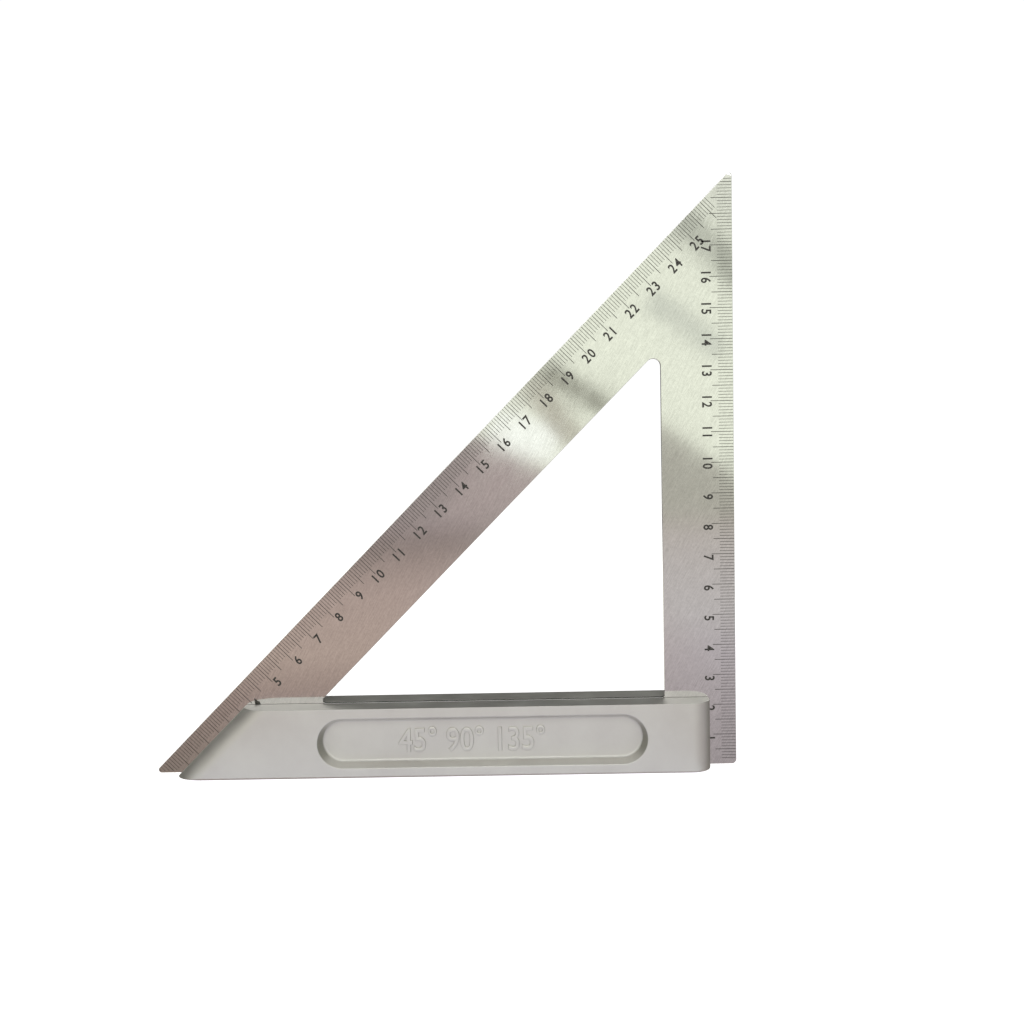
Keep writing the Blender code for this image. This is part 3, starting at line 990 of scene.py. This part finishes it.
def hang_screen(name, colour, strength, size, place, turn):
    """A glowing screen, in millimetres and degrees, that the metal sees and the camera doesn't."""
    width, height = (length * MM for length in size)
    screen = flat_object(name, width, height, [length * MM for length in place], turn,
                         glow(name, colour, strength))
    screen.visible_camera = False


SCREENS = (
    # name, colour in the steel, width, height, middle across, middle up, tilt (all mm, degrees)
    ("wall_screen", "e3e8d8", 2600.0, 1400.0, 0.0, 700.0, 0.0),
    ("tip_band", "d2d6c9", 240.0, 80.0, 350.0, 512.0, -40.0),
    ("bright_patch", "fafff8", 120.0, 60.0, 25.0, 130.0, -20.0),
    ("upper_band", "a7ab9f", 240.0, 50.0, 319.0, 426.0, -40.0),
    ("middle_band", "c3c8bc", 150.0, 38.0, 284.0, 300.0, -36.0),
    ("lower_band", "aeab9d", 150.0, 38.0, 67.0, 171.0, -52.0),
    ("frame_bar", "7d7d71", 150.0, 30.0, 107.0, 204.0, -33.5),
    ("side_board", "a6a59b", 260.0, 172.0, 255.0, 29.0, -33.5),
    ("bench_back", "a49896", 640.0, 200.0, -200.0, 106.0, -30.0),
    ("bench_corner", "958b89", 240.0, 300.0, -222.0, 53.0, -30.0),
)
for step, (name, colour, width, height, across, up, tilt) in enumerate(SCREENS):
    hang_screen(name, colour, STEEL_LOSS, (width, height),
                (across, SCREEN_STEP * step - SCREEN_DISTANCE, up), (90.0, -tilt, 0.0))
hang_screen("foot_card", "aeacb5", STEEL_LOSS, (174.0, 85.0), (-1.0, -52.0, 0.5), (0.0, 0.0, 0.0))
hang_screen("high_screen", "e6e4e8", HIGH_SCREEN_BOOST * STEEL_LOSS, (1300.0, 800.0),
            (0.0, -1290.0, 960.0), (90.0, 0.0, 0.0))
print(len(SCREENS) + 2, "screens")

# %% [markdown]
# The floor is white to the camera. Near the tool its glow is dimmed, a painted shade, under
# the soft shadow that the tool casts on it. What the metal mirrors is a bench top: brown to
# the left, a cool grey to the right, darker towards its far end, and pale behind the tool.

# %% Floor
BENCH_FLARE = 0.345                  # how fast the part that the steel mirrors widens to the front
BENCH_NEAR = -1.3                    # the bench's front and back ends, in metres along Y
BENCH_FAR = 0.1
FADE_START = 0.18                    # how far aside the bench begins to fade, and is faded
FADE_END = 0.5
FADED_SHARE = 0.2
FLOOR_SIZE = 12.0
SHADOW_REACH = 0.12                  # the floor's own glow is weakest this near the tool's middle
WHITE_FROM = 0.6                     # and full from here on
SHADOW_GLOW = 0.78


def make_floor_material():
    material, tree, shader = new_material("white_floor")
    place = add_node(tree, "ShaderNodeTexCoord").outputs["Object"]
    parts = add_node(tree, "ShaderNodeSeparateXYZ", {}, {"Vector": place})
    from_tool = add_node(tree, "ShaderNodeVectorMath", {"operation": "LENGTH"}, {0: place})
    # Painted shade: the floor's own glow is dimmer near the tool, under the shadow that the lamp
    # casts.
    glow_with_painted_shade = add_node(tree, "ShaderNodeMapRange",
                         {"From Min": SHADOW_REACH, "From Max": WHITE_FROM,
                          "To Min": SHADOW_GLOW, "To Max": 1.0},
                         {"Value": from_tool.outputs["Value"]})
    shader.inputs["Base Color"].default_value = (1.0, 1.0, 1.0, 1.0)
    shader.inputs["Roughness"].default_value = 1.0
    shader.inputs["Specular IOR Level"].default_value = 0.0
    shader.inputs["Emission Color"].default_value = (1.0, 1.0, 1.0, 1.0)
    tree.links.new(glow_with_painted_shade.outputs["Result"], shader.inputs["Emission Strength"])
    depth = add_node(tree, "ShaderNodeMapRange", {"From Min": BENCH_NEAR, "From Max": BENCH_FAR},
                     {"Value": parts.outputs["Y"]}).outputs["Result"]
    brown = set_stops(add_node(tree, "ShaderNodeValToRGB", {}, {"Fac": depth}),
                      (0.0, "9a8e8e"), (0.32, "877b77"), (0.63, "a89790"), (0.79, "aa9990"),
                      (0.86, "92827b"), (0.93, "82766f"), (1.0, "d0d0ca"))
    grey = set_stops(add_node(tree, "ShaderNodeValToRGB", {}, {"Fac": depth}),
                     (0.0, "a8a49a"), (0.3, "b2aca8"), (0.7, "b5b1b1"), (0.8, "aca6aa"),
                     (0.88, "a39da1"), (0.93, "9d979b"), (1.0, "d0d0ca"))
    side = add_node(tree, "ShaderNodeMapRange", {"From Min": -0.06, "From Max": 0.13},
                    {"Value": parts.outputs["X"]})
    bench = add_node(tree, "ShaderNodeMix", {"data_type": "RGBA"},
                     {"Factor": side.outputs["Result"]})
    tree.links.new(brown, bench.inputs[MIX_COLOUR_A])
    tree.links.new(grey, bench.inputs[MIX_COLOUR_B])
    aside = add_node(tree, "ShaderNodeMath", {"operation": "ABSOLUTE"}, {0: parts.outputs["X"]})
    beside = add_node(tree, "ShaderNodeMath", {"operation": "MULTIPLY_ADD", 1: BENCH_FLARE},
                      {0: parts.outputs["Y"], 2: aside.outputs["Value"]})
    fading = add_node(tree, "ShaderNodeMapRange",
                      {"From Min": FADE_START, "From Max": FADE_END, "To Min": STEEL_LOSS,
                       "To Max": FADED_SHARE * STEEL_LOSS}, {"Value": beside.outputs["Value"]})
    mirrored = add_node(tree, "ShaderNodeEmission", {},
                        {"Color": bench.outputs[MIX_COLOUR_RESULT],
                         "Strength": fading.outputs["Result"]})
    which = add_node(tree, "ShaderNodeLightPath")
    both = add_node(tree, "ShaderNodeMixShader", {},
                    {0: which.outputs["Is Camera Ray"], 1: mirrored.outputs["Emission"],
                     2: shader.outputs["BSDF"]})
    tree.links.new(both.outputs["Shader"], tree.nodes["Material Output"].inputs["Surface"])
    return material


flat_object("floor", FLOOR_SIZE, FLOOR_SIZE, (0.0, 0.0, 0.0), (0.0, 0.0, 0.0),
            make_floor_material())

# %% [markdown]
# One large soft lamp overhead brightens the tops of the castings and gives the tool its shadow.

# %% Lamp
LAMP_PLACE = Vector((0.0, -0.1, 1.6))
LAMP_SIZE = 1.4
LAMP_POWER = 6.0                     # watts

lamp = bpy.data.lights.new("overhead", "AREA")
lamp.shape = "SQUARE"
lamp.size = LAMP_SIZE
lamp.energy = LAMP_POWER
lamp_holder = bpy.data.objects.new("overhead", lamp)
lamp_holder.location = LAMP_PLACE
lamp_holder.rotation_euler = (-LAMP_PLACE).to_track_quat("-Z", "Y").to_euler()
bpy.context.scene.collection.objects.link(lamp_holder)
print(f"lamp: {LAMP_SIZE:.1f} m square, {LAMP_POWER:.0f} W")
